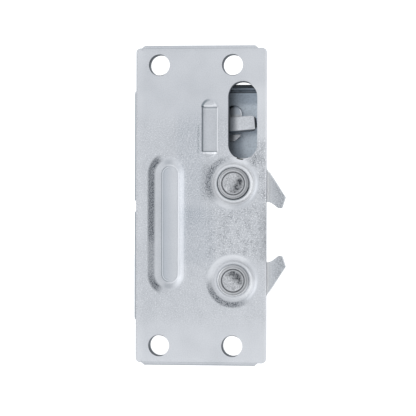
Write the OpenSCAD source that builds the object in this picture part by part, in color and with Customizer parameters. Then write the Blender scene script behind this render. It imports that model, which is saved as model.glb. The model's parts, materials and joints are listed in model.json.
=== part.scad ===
// Car door latch with two geared claws.
// Millimetres. X is right, Y is depth and Z is up, seen from the mounting face.
// The origin is the centre of the four bolt holes, on the mounting face.

/* [Face plate] */
// Distance from the bolt pattern's centre to the left edge
plate_left = 25.8; // [22:0.1:32]
// Distance from the bolt pattern's centre to the right edge
plate_right = 30.2; // [28:0.1:34]
// Height of the flat sheet
plate_h = 134.4; // [130:0.1:150]
// Thickness of the plate's sheet
plate_t = 2.5; // [2:0.1:3]
// Corner radius of the sheet
plate_corner_r = 1.8; // [0.5:0.1:3]
// Height over the two bent edges
flange_h = 137; // [134:0.1:154]
// Width of each bent edge
flange_w = 49.6; // [30:0.1:52]
// Place of the bent edges' middle, to the right of the bolt pattern
flange_x = 1.4; // [-2:0.1:4]
// Depth of the bent edges
flange_depth = 9; // [6:0.5:14]
// Outer radius of the plate's bends
flange_bend_r = 3.1; // [3.1:0.1:5]
// Slant of the bent edges' ends
flange_slant = 1.1; // [0:0.1:2]

/* [Bolt holes] */
// Distance between the bolt holes, across
bolt_dx = 31.5; // [28:0.5:36]
// Distance between the bolt holes, up
bolt_dz = 120; // [116:0.5:122]
// Diameter of the bolt holes
bolt_d = 8.8; // [6:0.1:9.5]
// Height of the collars that are drawn out of the plate round the holes, at the back
bolt_collar_h = 3.2; // [1:0.1:5]
// Wall of the collars
bolt_collar_t = 0.9; // [0.6:0.1:1.2]

/* [Lever slot] */
// Width of the slot
slot_w = 12.3; // [9:0.1:13]
// Length of the slot
slot_len = 32.7; // [28:0.1:35]
// Place of the slot's middle, across
slot_x = 20.2; // [18:0.1:21]
// Place of the slot's middle, up
slot_z = 36.2; // [35:0.1:38]

/* [Pressed shapes] */
// Depth of the long rib and of the two dishes
press_depth = 1.7; // [1:0.1:1.9]
// Width of the rib's floor
rib_floor_w = 6.8; // [5:0.1:9]
// Distance between the centres of the rib's round ends
rib_len = 42.8; // [20:0.1:50]
// Place of the rib's middle, across
rib_x = -11.5; // [-13:0.1:-9]
// Place of the rib's middle, up
rib_z = -8; // [-12:0.1:-4]
// Width of the slope round the rib's floor
rib_slope_w = 5; // [2:0.1:5.2]
// Radius of the flat floor of a dish
dish_floor_r = 7.5; // [7.4:0.1:9]
// Width of the slope round a dish
dish_slope_w = 4.3; // [2:0.1:4.5]
// Width of the lanced strip
strip_w = 6.7; // [5:0.1:8]
// Length of the lanced strip
strip_len = 19.6; // [12:0.1:22]
// Depth of the lanced strip
strip_depth = 1.8; // [0.6:0.1:1.8]
// Place of the lanced strip's middle, across
strip_x = 5.8; // [4:0.1:7]
// Place of the lanced strip's middle, up
strip_z = 32.7; // [31:0.1:34]
// Radius of the hollow at each end of the strip
strip_end_r = 3.2; // [2:0.1:3.3]
// Depth of the hollow at each end of the strip
strip_end_depth = 0.8; // [0.3:0.1:1]

/* [Case] */
// Distance from the bolt pattern's centre to the case's left side
case_left = 26.7; // [26:0.1:28]
// Distance from the bolt pattern's centre to the case's right edge
case_right = 27; // [25:0.1:28]
// Height of the case
case_h = 103.2; // [100.5:0.1:106]
// Thickness of the case's sheet
case_t = 1.5; // [1:0.1:2]
// Depth from the mounting face to the case's inner face
case_floor_y = 18; // [17.5:0.1:22]
// Outer radius of the case's bends
case_bend_r = 2.6; // [2.2:0.1:4]
// Height of the gap in the case's left wall
wall_gap_h = 4.7; // [2:0.1:8]
// Length of the stiffening rib on the case's back, between the centres of its round ends
back_rib_len = 36; // [20:1:42]
// Place of that rib's middle, up
back_rib_z = -14; // [-16:0.5:-12]

/* [Pivots] */
// Place of the claws' pivots, across
pivot_x = 16; // [15:0.1:17]
// Distance between the claws' pivots
pivot_dz = 41.5; // [40.5:0.1:42.5]
// Height of the line midway between the pivots
jaw_z = -11.35; // [-13:0.05:-10]
// Diameter of the rivets' shafts
pin_d = 8; // [7:0.1:8.4]
// Diameter of the rivets' formed heads
rivet_head_d = 13.8; // [12:0.1:14.6]
// Diameter of a rivet's thin end, in the case's sheet
rivet_tail_d = 6; // [4:0.1:6.5]
// Diameter of a rivet's formed tail
rivet_upset_d = 10; // [8:0.1:12]
// Height of a rivet's formed tail
rivet_upset_h = 1.5; // [1:0.1:2]

/* [Claws] */
// Thickness of the claws
claw_t = 5; // [4.5:0.1:5.2]
// Slope of a claw's back edge, from the level
back_slope = 57.5; // [50:0.5:60]
// Radius of a claw round its pivot
claw_hub_r = 11; // [10.6:0.1:11.2]
// Reach of a claw's nose past its pivot
nose_reach = 21.8; // [20:0.1:23]
// Distance from the jaw's middle line to a claw's nose corner
nose_half = 14.9; // [13.5:0.1:15.5]
// Distance from the jaw's middle line to a hook's tip
jaw_tip_half = 10.2; // [9:0.1:11]
// Distance from the jaw's middle line to the claws' inner edges
jaw_half = 12.8; // [11.5:0.1:13]
// Reach of a hook's tip past its pivot
tip_reach = 20.3; // [18.5:0.1:21]
// Width of a hook's tip
tip_w = 1.3; // [0.8:0.1:2]
// Length of the slope inside a hook's tip, across
lip_run = 3.4; // [2:0.1:4]
// Number of teeth that a full gear of the claws would have
gear_teeth = 20; // [18:2:22]

/* [Pawl and lever] */
// Place of the pawl's pivot, across
pawl_x = -12; // [-13:0.1:-11]
// Place of the pawl's pivot, up
pawl_z = 32; // [31:0.1:33]
// Thickness of the pawl
pawl_t = 4.4; // [3.6:0.1:4.5]
// Radius of the pawl round its pivot
pawl_hub_r = 7.4; // [6.8:0.1:8]
// Depth of the notch in the upper claw's hub
notch_depth = 3.2; // [2.4:0.1:3.6]
// Width of the pawl's nose at its tip
nose_tip_w = 3; // [2.4:0.1:3.6]
// Slope of the pawl nose's holding face
nose_slope = 26; // [25:1:30]
// Thickness of the release lever's sheet
lever_t = 2.2; // [1.8:0.1:2.3]
// Radius of the release lever round its pivot
lever_hub_r = 8.4; // [8:0.1:9]
// Tilt of the release lever's arm at rest
lever_tilt = 5; // [2:0.5:7]
// Distance from the pivot to the tab's left end
tab_start = 26.2; // [25:0.1:27]
// Length of the tab
tab_len = 11; // [8:0.1:11.2]
// Height of the tab
tab_h = 6.6; // [5:0.1:6.8]
// Depth of the tab's end, which is turned back
tab_return = 8; // [4:0.5:8.5]
// Length of the finger below the tab, from the pivot
finger_len = 31; // [29:0.5:32]
// Distance from the arm's middle line to its lower edge
finger_low = 6.7; // [6.4:0.1:7]

/* [Springs and small pieces] */
// Wire diameter of the claws' springs
claw_wire_d = 1.4; // [1:0.1:1.5]
// Mean radius of the claws' spring coils
claw_coil_r = 8; // [7.8:0.1:8.3]
// Distance from one turn to the next in the claws' springs
claw_coil_pitch = 1.95; // [1.92:0.01:2]
// Wire diameter of the lever's spring
lever_wire_d = 1.1; // [0.8:0.1:1.1]
// Mean radius of the lever's spring coil
lever_coil_r = 6.4; // [6.2:0.1:6.8]
// Distance from one turn to the next in the lever's spring
lever_coil_pitch = 1.6; // [1.55:0.01:1.65]
// Wall of the plastic bushes
bush_wall = 1; // [0.8:0.1:1.2]
// Thickness of the bushes' flanges
bush_flange_t = 0.8; // [0.5:0.1:0.9]
// Thickness of the claws' rear washers
washer_t = 0.8; // [0.5:0.1:1]
// Distance of the spring posts from the claws' pivots, across
post_side = 1.3; // [0.8:0.1:2]
// Height of the upper spring post above the upper pivot
upper_post_up = 30.3; // [29:0.1:32]
// Distance of the lower spring post below the lower pivot
lower_post_down = 13.4; // [13:0.1:14]
// Diameter of the spring posts' heads
post_head_d = 7.2; // [5.6:0.1:7.4]
// Diameter of the spring posts' necks
post_neck_d = 4.4; // [3.6:0.1:4.8]
// Width of the rubber bumper
bumper_w = 7; // [5:0.1:8]
// Height of the rubber bumper
bumper_h = 4.4; // [3:0.1:4.4]
// Place of the rubber bumper's middle, across
bumper_x = 20.4; // [19.5:0.1:21]

/* [Hidden] */
$fn = 64;

// Clearances: a running fit on a pin, a gap between faces that pass, and a cut's overshoot
run_fit = 0.05;
face_gap = 0.3;
cut = 1;

// Places of the pivots in the XZ plane
upper_pivot = [pivot_x, jaw_z + pivot_dz / 2];
lower_pivot = [pivot_x, jaw_z - pivot_dz / 2];
pawl_pivot = [pawl_x, pawl_z];
pin_r = pin_d / 2;
bush_r = pin_r + run_fit + bush_wall;

// Depths of the layers, from the mounting face to the back
dish_back_y = plate_t + press_depth;
claw_y = dish_back_y + bush_flange_t + face_gap;
claw_back_y = claw_y + claw_t;
washer_y = claw_back_y + face_gap;
spacer_y = washer_y + washer_t;
pawl_y = claw_y + (claw_t - pawl_t) / 2;
lever_y = pawl_y + pawl_t + face_gap;
lever_back_y = lever_y + lever_t;
tab_y = plate_t + face_gap;
case_back_y = case_floor_y + case_t;

// Slope of a pressed wall, from its floor to its rim, as a Bezier curve: foot is the share of the
// run that stays low near the floor, which is 0 at a crisp floor edge
PRESS_STEPS = 8;
PRESS_RIM = 0.4;
function bezier(a, b, c, d, t) =
    a * pow(1 - t, 3) + b * 3 * t * pow(1 - t, 2) + c * 3 * t * t * (1 - t) + d * pow(t, 3);
function press_wall(floor_r, rim_r, floor_y, rim_y, foot) =
    let (run = rim_r - floor_r)
    [for (i = [0 : PRESS_STEPS])
        bezier([floor_r, floor_y], [floor_r + run * foot, floor_y],
               [floor_r + run * PRESS_RIM, rim_y], [rim_r, rim_y], i / PRESS_STEPS)];

// Outline whose corners [x, y, r] are rounded by their own radius
ARC_STEPS = 6;
function unit(v) = v / norm(v);
function turned(v, angle) =
    [v.x * cos(angle) - v.y * sin(angle), v.x * sin(angle) + v.y * cos(angle)];
function corner_arc(before, at, after, r) =
    let (a = unit(before - at), b = unit(after - at), half = acos(a * b) / 2)
    r == 0 ? [at] :
    let (middle = at + unit(a + b) * r / sin(half),
         start = at + a * r / tan(half) - middle,
         sweep = (cross(a, b) > 0 ? -1 : 1) * (180 - 2 * half))
    [for (i = [0 : ARC_STEPS]) middle + turned(start, sweep * i / ARC_STEPS)];
function flat(corner) = [corner[0], corner[1]];
function rounded(corners) =
    let (n = len(corners))
    [for (i = [0 : n - 1])
        each corner_arc(flat(corners[(i + n - 1) % n]), flat(corners[i]),
                        flat(corners[(i + 1) % n]), corners[i][2])];

// A shape drawn in X and Z, given its thickness along Y
module layer(y, t) {
    translate([0, y + t, 0])
        rotate([90, 0, 0])
            linear_extrude(t)
                children();
}

// A profile drawn as radius and depth, turned about an axis along Y
module turned_about(place) {
    translate([place[0], 0, place[1]])
        rotate([-90, 0, 0])
            rotate_extrude()
                children();
}

module disc(place, r, y, t) {
    layer(y, t)
        translate(place)
            circle(r);
}

module obround(width, length) {
    square([width, length - width], center = true);
    for (end = [-1, 1])
        translate([0, end * (length - width) / 2])
            circle(width / 2);
}

module rounded_rect(width, height, r) {
    square([width - 2 * r, height], center = true);
    square([width, height - 2 * r], center = true);
    for (x = [-1, 1], y = [-1, 1])
        translate([x * (width / 2 - r), y * (height / 2 - r)])
            circle(r);
}

// A pressed trough: its profile, round at both ends of a straight middle
module trough(place, length, profile) {
    backwards = [for (i = [len(profile) - 1 : -1 : 0]) [-profile[i].x, profile[i].y]];
    translate([place[0], 0, place[1]]) {
        linear_extrude(length, center = true)
            polygon(concat(profile, backwards));
        for (end = [-1, 1])
            translate([0, 0, end * length / 2])
                rotate([-90, 0, 0])
                    rotate_extrude()
                        polygon(profile);
    }
}

// Profiles of a pressed shape: what it takes off the front and adds behind
function press_front(floor_r, slope_w, depth, foot) =
    concat([[0, -cut], [0, depth]],
           press_wall(floor_r, floor_r + slope_w, depth, 0, foot),
           [[floor_r + slope_w, -cut]]);
function press_back(floor_r, slope_w, depth, t, foot) =
    concat([[0, t / 2], [0, t + depth]],
           press_wall(floor_r + t / 2, floor_r + slope_w + t / 4, t + depth, t, foot),
           [[floor_r + slope_w + t / 4, t / 2]]);
CRISP_FOOT = 0;
SOFT_FOOT = 0.3;

// Face plate
plate_mid_x = (plate_right - plate_left) / 2;
flat_end_z = flange_h / 2 - flange_bend_r;
bolt_places = [for (x = [-1, 1], z = [-1, 1]) [x * bolt_dx / 2, z * bolt_dz / 2]];

// A bent edge in section, from the flat sheet back to the edge's depth
module flange_section() {
    difference() {
        union() {
            translate([0, flat_end_z - cut])
                square([plate_t, cut]);
            translate([flange_bend_r, flat_end_z])
                circle(flange_bend_r);
            translate([flange_bend_r, flat_end_z])
                square([flange_depth - flange_bend_r, flange_bend_r]);
        }
        translate([flange_bend_r, flat_end_z])
            circle(flange_bend_r - plate_t);
        translate([flange_bend_r, flat_end_z - flange_bend_r - cut])
            square([flange_depth, 2 * flange_bend_r - plate_t + cut]);
        translate([plate_t, flat_end_z - flange_bend_r - cut])
            square([flange_depth, flange_bend_r + cut]);
    }
}

module flange() {
    half_w = flange_w / 2;
    low_z = flat_end_z - flange_bend_r;
    intersection() {
        translate([flange_x - half_w, 0, 0])
            rotate([90, 0, 90])
                linear_extrude(flange_w)
                    flange_section();
        layer(-cut, flange_depth + 2 * cut)
            translate([flange_x, 0])
                polygon([
                    [-half_w, low_z], [half_w, low_z],
                    [half_w, flange_h / 2 - flange_slant], [half_w - flange_slant, flange_h / 2],
                    [flange_slant - half_w, flange_h / 2], [-half_w, flange_h / 2 - flange_slant]
                ]);
    }
}

module plate_blank() {
    layer(0, plate_t) {
        difference() {
            translate([plate_mid_x, 0])
                rounded_rect(plate_left + plate_right, plate_h, plate_corner_r);
            for (side = [-1, 1])
                translate([flange_x, side * (flat_end_z + plate_h / 2)])
                    square([flange_w, plate_h], center = true);
        }
        translate([flange_x, 0])
            square([flange_w, 2 * flat_end_z], center = true);
    }
    flange();
    mirror([0, 0, 1])
        flange();
}

module strip_pocket(y, depth, spread) {
    layer(y, depth)
        translate([strip_x, strip_z])
            square([strip_w + spread, strip_len + spread], center = true);
}

STRIP_END_SLOPE = 0.6;
module strip_end_hollows() {
    slope_w = strip_end_r * STRIP_END_SLOPE;
    for (end = [-1, 1])
        turned_about([strip_x, strip_z + end * strip_len / 2])
            polygon(press_front(strip_end_r - slope_w, slope_w, strip_end_depth, SOFT_FOOT));
}

module front_plate() {
    color([0.78, 0.80, 0.83])
    difference() {
        union() {
            plate_blank();
            for (place = [upper_pivot, lower_pivot])
                turned_about(place)
                    polygon(press_back(dish_floor_r, dish_slope_w, press_depth, plate_t, SOFT_FOOT));
            trough([rib_x, rib_z], rib_len,
                   press_back(rib_floor_w / 2, rib_slope_w, press_depth, plate_t, CRISP_FOOT));
            strip_pocket(plate_t / 2, plate_t / 2 + strip_depth, 0);
            for (place = bolt_places)
                disc(place, bolt_d / 2 + bolt_collar_t, plate_t / 2, plate_t / 2 + bolt_collar_h);
        }
        for (place = [upper_pivot, lower_pivot]) {
            turned_about(place)
                polygon(press_front(dish_floor_r, dish_slope_w, press_depth, SOFT_FOOT));
            disc(place, pin_r, 0, dish_back_y + cut);
        }
        trough([rib_x, rib_z], rib_len,
               press_front(rib_floor_w / 2, rib_slope_w, press_depth, CRISP_FOOT));
        strip_pocket(-cut, cut + strip_depth, 0);
        strip_end_hollows();
        layer(-cut, dish_back_y + 2 * cut)
            translate([slot_x, slot_z])
                obround(slot_w, slot_len);
        for (place = bolt_places)
            disc(place, bolt_d / 2, -cut, plate_t + bolt_collar_h + 2 * cut);
    }
}

// Case behind the plate, folded from one sheet and open on the right
wall_h = case_h - 2 * case_bend_r;
wall_chamfer = 1.2;
wall_gap_z = -0.35;
wall_gap_depth = 3.5;
back_rib_depth = 1.2;

// A folded wall in section: outer face at 0, running from the plate's back to the case's back
module wall_section() {
    depth = case_back_y - plate_t;
    difference() {
        union() {
            square([case_t, depth - case_bend_r]);
            translate([case_bend_r, depth - case_bend_r])
                circle(case_bend_r);
            translate([case_bend_r, depth - case_t])
                square([cut, case_t]);
        }
        translate([case_bend_r, depth - case_bend_r])
            circle(case_bend_r - case_t);
        translate([case_t, -cut])
            square([2 * case_bend_r, depth - case_bend_r + cut]);
        translate([case_bend_r, depth - case_bend_r - cut])
            square([2 * case_bend_r, case_bend_r - case_t + cut]);
    }
}

module left_wall() {
    corner = wall_h / 2;
    intersection() {
        translate([-case_left, plate_t, -corner])
            linear_extrude(wall_h)
                wall_section();
        translate([-case_left - cut, 0, 0])
            rotate([90, 0, 90])
                linear_extrude(case_bend_r + 2 * cut)
                    polygon([
                        [plate_t, -corner + wall_chamfer],
                        [plate_t + wall_chamfer, -corner],
                        [case_back_y, -corner],
                        [case_back_y, corner],
                        [plate_t + wall_chamfer, corner],
                        [plate_t, corner - wall_chamfer],
                        [plate_t, wall_gap_z + wall_gap_h / 2],
                        [plate_t + wall_gap_depth, wall_gap_z + wall_gap_h / 2],
                        [plate_t + wall_gap_depth, wall_gap_z - wall_gap_h / 2],
                        [plate_t, wall_gap_z - wall_gap_h / 2]
                    ]);
    }
}

module top_wall() {
    x_start = -case_left + case_bend_r;
    translate([x_start, plate_t, case_h / 2])
        rotate([0, 90, 0])
            linear_extrude(case_right - x_start)
                wall_section();
}

module back_housing() {
    back_w = case_left - case_bend_r + case_right;
    back_mid_x = case_right - back_w / 2;
    color([0.50, 0.56, 0.62])
    difference() {
        union() {
            left_wall();
            top_wall();
            mirror([0, 0, 1])
                top_wall();
            layer(case_floor_y, case_t)
                translate([back_mid_x, 0])
                    square([back_w, wall_h], center = true);
            translate([0, case_floor_y, 0])
                trough([rib_x, back_rib_z], back_rib_len,
                       press_back(rib_floor_w / 2, rib_slope_w, back_rib_depth, case_t, SOFT_FOOT));
        }
        translate([0, case_floor_y, 0])
            trough([rib_x, back_rib_z], back_rib_len,
                   press_front(rib_floor_w / 2, rib_slope_w, back_rib_depth, SOFT_FOOT));
        for (place = [upper_pivot, lower_pivot, pawl_pivot])
            disc(place, rivet_tail_d / 2, case_floor_y - cut, case_t + 2 * cut);
        for (place = post_places)
            disc(place, post_tail_r, case_floor_y - cut, case_t + 2 * cut);
    }
}

// Rivets: a formed head, a shaft, a thin end through the case's sheet and an upset tail.
// The head's sunk face and raised ring, and the tail's rounding, are shares of their radius and height.
head_top_y = 0.25;
HEAD_FACE = 0.68;
HEAD_RING = [0.74, 0.93];
HEAD_SINK = 0.25;
HEAD_RIM_DROP = 0.4;
TAIL_TOP = [0.8, 0.5];
module rivet(place, head_r, head_y, seat_y) {
    head_h = seat_y - head_y;
    tail_r = rivet_tail_d / 2;
    upset_r = rivet_upset_d / 2;
    tail_y = case_back_y + rivet_upset_h;
    turned_about(place)
        polygon([
            [0, head_y + head_h * HEAD_SINK],
            [head_r * HEAD_FACE, head_y + head_h * HEAD_SINK],
            [head_r * HEAD_RING[0], head_y],
            [head_r * HEAD_RING[1], head_y],
            [head_r, head_y + head_h * HEAD_RIM_DROP],
            [head_r, seat_y],
            [pin_r, seat_y],
            [pin_r, case_floor_y],
            [tail_r, case_floor_y],
            [tail_r, case_back_y],
            [upset_r, case_back_y],
            [upset_r, tail_y - rivet_upset_h * TAIL_TOP[1]],
            [upset_r * TAIL_TOP[0], tail_y],
            [0, tail_y]
        ]);
}

module upper_pivot_rivet() {
    color([0.74, 0.75, 0.76])
    rivet(upper_pivot, rivet_head_d / 2, head_top_y, press_depth);
}

module lower_pivot_rivet() {
    color([0.74, 0.75, 0.76])
    rivet(lower_pivot, rivet_head_d / 2, head_top_y, press_depth);
}

// Sleeves that hold the case away from the claws, one on each pivot
spacer_wall = 2.05;
washer_lip = 1;
claw_bush_flange_w = 1.5;
spacer_r = pin_r + run_fit + spacer_wall;
module sleeve(place, inner_r, outer_r, y, t) {
    layer(y, t)
        translate(place)
            difference() {
                circle(outer_r);
                circle(inner_r);
            }
}

module pivot_spacers() {
    color([0.62, 0.64, 0.66])
    for (place = [upper_pivot, lower_pivot])
        sleeve(place, pin_r + run_fit, spacer_r, spacer_y, case_floor_y - spacer_y);
}

module claw_washers() {
    color([0.80, 0.76, 0.62])
    for (place = [upper_pivot, lower_pivot])
        sleeve(place, pin_r + run_fit, spacer_r + washer_lip, washer_y, washer_t);
}

module claw_bush(place) {
    color([0.93, 0.92, 0.88]) {
        sleeve(place, pin_r + run_fit, bush_r, claw_y, claw_t);
        sleeve(place, pin_r + run_fit, bush_r + claw_bush_flange_w, claw_y - bush_flange_t,
               bush_flange_t);
    }
}

module upper_claw_bush() {
    claw_bush(upper_pivot);
}

module lower_claw_bush() {
    claw_bush(lower_pivot);
}

// Gear teeth between the claws, with involute flanks
pitch_r = pivot_dz / 2;
gear_module = 2 * pitch_r / gear_teeth;
pressure_angle = 20;
base_r = pitch_r * cos(pressure_angle);
DEDENDUM = 1.25;
ADDENDUM = 0.92;
root_r = pitch_r - DEDENDUM * gear_module;
tooth_tip_r = pitch_r + ADDENDUM * gear_module;
tooth_step = 360 / gear_teeth;
backlash = 0.1;
flank_steps = 5;
TOOTH_SINK = 0.97;
SECTOR_MARGIN = 0.56;

function involute(angle) = tan(angle) * 180 / PI - angle;
function tooth_half(r) =
    tooth_step / 4 - backlash / pitch_r * 180 / PI
    + involute(pressure_angle) - involute(acos(min(1, base_r / r)));
function tooth_side(side) =
    [for (i = [0 : flank_steps])
        let (r = base_r + (tooth_tip_r - base_r) * i / flank_steps)
        r * [cos(side * tooth_half(r)), sin(side * tooth_half(r))]];
function tooth_outline() =
    let (low = tooth_side(-1), high = tooth_side(1), foot_r = root_r * TOOTH_SINK,
         foot = tooth_half(base_r))
    concat([foot_r * [cos(foot), -sin(foot)]], low,
           [for (i = [flank_steps : -1 : 0]) high[i]],
           [foot_r * [cos(foot), sin(foot)]]);

// A claw in its own plane: pivot at 0, nose to the right, jaw below
edge_z = jaw_half - pitch_r;
nose_z = nose_half - pitch_r;
tip_z = jaw_tip_half - pitch_r;
back_top_x = nose_reach - (claw_hub_r - nose_z) / tan(back_slope);
back_corner_r = 5;
nose_corner_r = 0.6;
lip_corner_r = 3.5;
heel_corner_r = 2.2;
function sector_start(teeth) = -90 - tooth_step * (max(teeth) + SECTOR_MARGIN);
function sector_end(teeth) = -90 - tooth_step * (min(teeth) - SECTOR_MARGIN);

module claw_outline(teeth) {
    from = sector_start(teeth);
    to = sector_end(teeth);
    circle(claw_hub_r);
    polygon(rounded([
        [0, claw_hub_r, 0],
        [back_top_x, claw_hub_r, back_corner_r],
        [nose_reach, nose_z, nose_corner_r],
        [tip_reach, tip_z, nose_corner_r],
        [tip_reach - tip_w, tip_z, nose_corner_r],
        [tip_reach - tip_w - lip_run, edge_z, lip_corner_r],
        [edge_z / tan(to), edge_z, heel_corner_r],
        [root_r * cos(to), root_r * sin(to), 0],
        [0, 0, 0]
    ]));
    intersection() {
        circle(root_r);
        polygon([[0, 0], 2 * root_r * [cos(from), sin(from)],
                 2 * root_r * [cos(-90), sin(-90)],
                 2 * root_r * [cos(to), sin(to)]]);
    }
    for (tooth = teeth)
        rotate(-90 - tooth * tooth_step)
            polygon(tooth_outline());
}

// Peg on a claw's back, pushed by its spring
peg_r = 1.2;
peg_h = 2.6;
peg_gap = claw_wire_d / 2 + peg_r + face_gap;
peg_reach = 11;
peg_place = [peg_reach, -claw_coil_r + peg_gap];

module claw_solid(teeth) {
    layer(claw_y, claw_t)
        difference() {
            claw_outline(teeth);
            circle(bush_r);
        }
    disc(peg_place, peg_r, claw_back_y, peg_h);
}

UPPER_TEETH = [0, 1];
LOWER_TEETH = [-0.5, 0.5, 1.5];

module upper_claw() {
    color([0.72, 0.73, 0.74])
    difference() {
        translate([upper_pivot[0], 0, upper_pivot[1]])
            claw_solid(UPPER_TEETH);
        layer(claw_y - cut, claw_t + 2 * cut)
            nose_frame()
                notch_outline();
    }
}

module lower_claw() {
    color([0.72, 0.73, 0.74])
    translate([lower_pivot[0], 0, lower_pivot[1]])
        mirror([0, 0, 1])
            claw_solid(LOWER_TEETH);
}

// Pawl: its nose moves straight out of the upper claw's notch
reach_vector = pawl_pivot - upper_pivot;
notch_r = claw_hub_r - notch_depth / 2;
notch_bearing = atan2(reach_vector[1], reach_vector[0]) + acos(notch_r / norm(reach_vector));
pawl_arm = sqrt(pow(norm(reach_vector), 2) - pow(notch_r, 2));

// The nose's own plane: X points away from the claw's pivot, the pawl's pivot is at [0, -pawl_arm]
module nose_frame() {
    translate(upper_pivot)
        rotate(notch_bearing)
            translate([notch_r, 0])
                children();
}

nose_tip_u = -notch_depth / 2 + face_gap;
function nose_upper(u) = -nose_tip_w / 2 - tan(nose_slope) * (u - nose_tip_u);
RELIEF_SLOPE = 8;
function nose_lower(u) = nose_tip_w / 2 + tan(RELIEF_SLOPE) * (u - nose_tip_u);

module notch_outline() {
    deep = nose_tip_u - face_gap;
    wide = 2 * notch_depth;
    spread = face_gap / cos(nose_slope);
    polygon([
        [deep, nose_upper(nose_tip_u) - spread],
        [wide, nose_upper(wide) - spread],
        [wide, nose_lower(wide) + face_gap],
        [deep, nose_lower(nose_tip_u) + face_gap]
    ]);
}

// The arm runs from the nose, over a heel and a shoulder, to the hub, which it enters a little way
module pawl_arm_outline() {
    tip_corner_r = 0.5;
    heel_u = 9.2;
    heel_r = 3.5;
    bend = [-4.6, -16.5];
    bend_r = 10;
    shoulder_u = 2.4;
    shoulder_drop = 3.2;
    shoulder_r = 1.2;
    hub_sink = 1;
    hub_half = pawl_hub_r - hub_sink / 2;
    polygon(rounded([
        [nose_tip_u, nose_upper(nose_tip_u), tip_corner_r],
        [nose_tip_u, nose_lower(nose_tip_u), tip_corner_r],
        [heel_u - heel_r, nose_lower(heel_u - heel_r), 0],
        [heel_u, nose_lower(0), heel_r],
        [heel_u, bend.y, bend_r],
        [hub_half, -pawl_arm - hub_sink, 0],
        [-hub_half, -pawl_arm - hub_sink, 0],
        [bend.x, bend.y, bend_r],
        [shoulder_u, nose_upper(shoulder_u) - shoulder_drop, shoulder_r],
        [shoulder_u, nose_upper(shoulder_u), 0]
    ]));
}

module pawl() {
    color([0.60, 0.62, 0.64])
    difference() {
        union() {
            disc(pawl_pivot, pawl_hub_r, pawl_y, pawl_t);
            layer(pawl_y, pawl_t)
                nose_frame()
                    pawl_arm_outline();
        }
        disc(pawl_pivot, bush_r, pawl_y - cut, pawl_t + 2 * cut);
    }
}

module pawl_bush() {
    color([0.93, 0.92, 0.88]) {
        sleeve(pawl_pivot, pin_r + run_fit, bush_r, pawl_y, lever_back_y - pawl_y);
        sleeve(pawl_pivot, pin_r + run_fit, bush_r + pawl_bush_flange_w, pawl_y - bush_flange_t,
               bush_flange_t);
    }
}

pawl_bush_flange_w = 1.2;
pawl_head_h = 1;
pawl_head_margin = 1;
module pawl_pivot_rivet() {
    seat = pawl_y - bush_flange_t - face_gap / 2;
    color([0.74, 0.75, 0.76])
    rivet(pawl_pivot, pawl_hub_r - pawl_head_margin, seat - pawl_head_h, seat);
}

module pawl_spacer() {
    color([0.62, 0.64, 0.66])
    sleeve(pawl_pivot, pin_r + run_fit, bush_r, lever_back_y + face_gap,
           case_floor_y - lever_back_y - face_gap);
}

// Release lever: a flat arm whose upper strip steps forward to the tab in the slot
strip_split = 0.5;
step_start = 17.5;
tab_end = tab_start + tab_len;
lever_peg_r = 1.1;
lever_peg_h = 2;
lever_peg_reach = 12;
lever_peg_place = [lever_peg_reach, -lever_coil_r + lever_wire_d / 2 + lever_peg_r + face_gap];

module lever_frame() {
    translate([pawl_pivot[0], 0, pawl_pivot[1]])
        rotate([0, -lever_tilt, 0])
            children();
}

module lever_arm_outline() {
    strip_end = step_start + 1;
    neck_x = 14;
    neck_r = 8;
    finger_slant = 4;
    finger_corner_r = 0.6;
    finger_base_x = 6;
    finger_base_r = 6;
    difference() {
        union() {
            circle(lever_hub_r);
            polygon(rounded([
                [0, lever_hub_r, 0],
                [neck_x, tab_h / 2, neck_r],
                [strip_end, tab_h / 2, 0],
                [strip_end, -tab_h / 2 - strip_split, 0],
                [finger_len, -tab_h / 2 - strip_split, finger_corner_r],
                [finger_len - finger_slant, -finger_low, 2 * finger_corner_r],
                [finger_base_x, -finger_low, finger_base_r],
                [0, -lever_hub_r, 0]
            ]));
        }
        circle(bush_r + run_fit);
    }
}

// The strip in section: from the arm's plane, forward along a slope, to the tab's plane
module tab_section() {
    step_end = tab_start - 1;
    lean = 1.3;
    front_ease = lever_t * 0.35;
    back_ease = lever_t * 0.2;
    polygon([
        [step_start, lever_back_y],
        [step_start, lever_y],
        [step_start + 1, lever_y],
        [step_end - lean, tab_y + front_ease],
        [step_end, tab_y],
        [tab_end, tab_y],
        [tab_end, tab_y + lever_t],
        [step_end + lean, tab_y + lever_t],
        [step_start + 1 + 2 * lean, lever_back_y - back_ease],
        [step_start + 1 + lean, lever_back_y]
    ]);
}

// The tab's end is turned back, and is cut short below to pass over the upper claw
module tab_return_flange() {
    return_t = lever_t * 0.7;
    return_foot = 1.6;
    translate([tab_end - return_t, tab_y, return_foot - tab_h / 2])
        cube([return_t, tab_return, tab_h - return_foot]);
}

module release_lever() {
    strip_len_x = tab_end - step_start;
    tab_corner_r = 1.4;
    color([0.84, 0.86, 0.88])
    lever_frame() {
        layer(lever_y, lever_t)
            lever_arm_outline();
        intersection() {
            union() {
                translate([0, 0, -tab_h / 2])
                    linear_extrude(tab_h)
                        tab_section();
                tab_return_flange();
            }
            layer(tab_y - cut, lever_back_y - tab_y + 2 * cut)
                polygon(rounded([
                    [step_start, -tab_h / 2, 0],
                    [step_start + strip_len_x, -tab_h / 2, tab_corner_r],
                    [step_start + strip_len_x, tab_h / 2, tab_corner_r],
                    [step_start, tab_h / 2, 0]
                ]));
        }
        disc(lever_peg_place, lever_peg_r, lever_back_y, lever_peg_h);
    }
}

// Springs: one unbroken wire along a route, as six-sided rings
WIRE_SIDES = 6;
COIL_RINGS = 8;
function ring(at, along, r) =
    let (side = unit(cross(along, [0, 1, 0])), up = cross(side, along))
    [for (k = [0 : WIRE_SIDES - 1])
        at + r * (cos(360 * k / WIRE_SIDES) * side + sin(360 * k / WIRE_SIDES) * up)];

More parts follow.
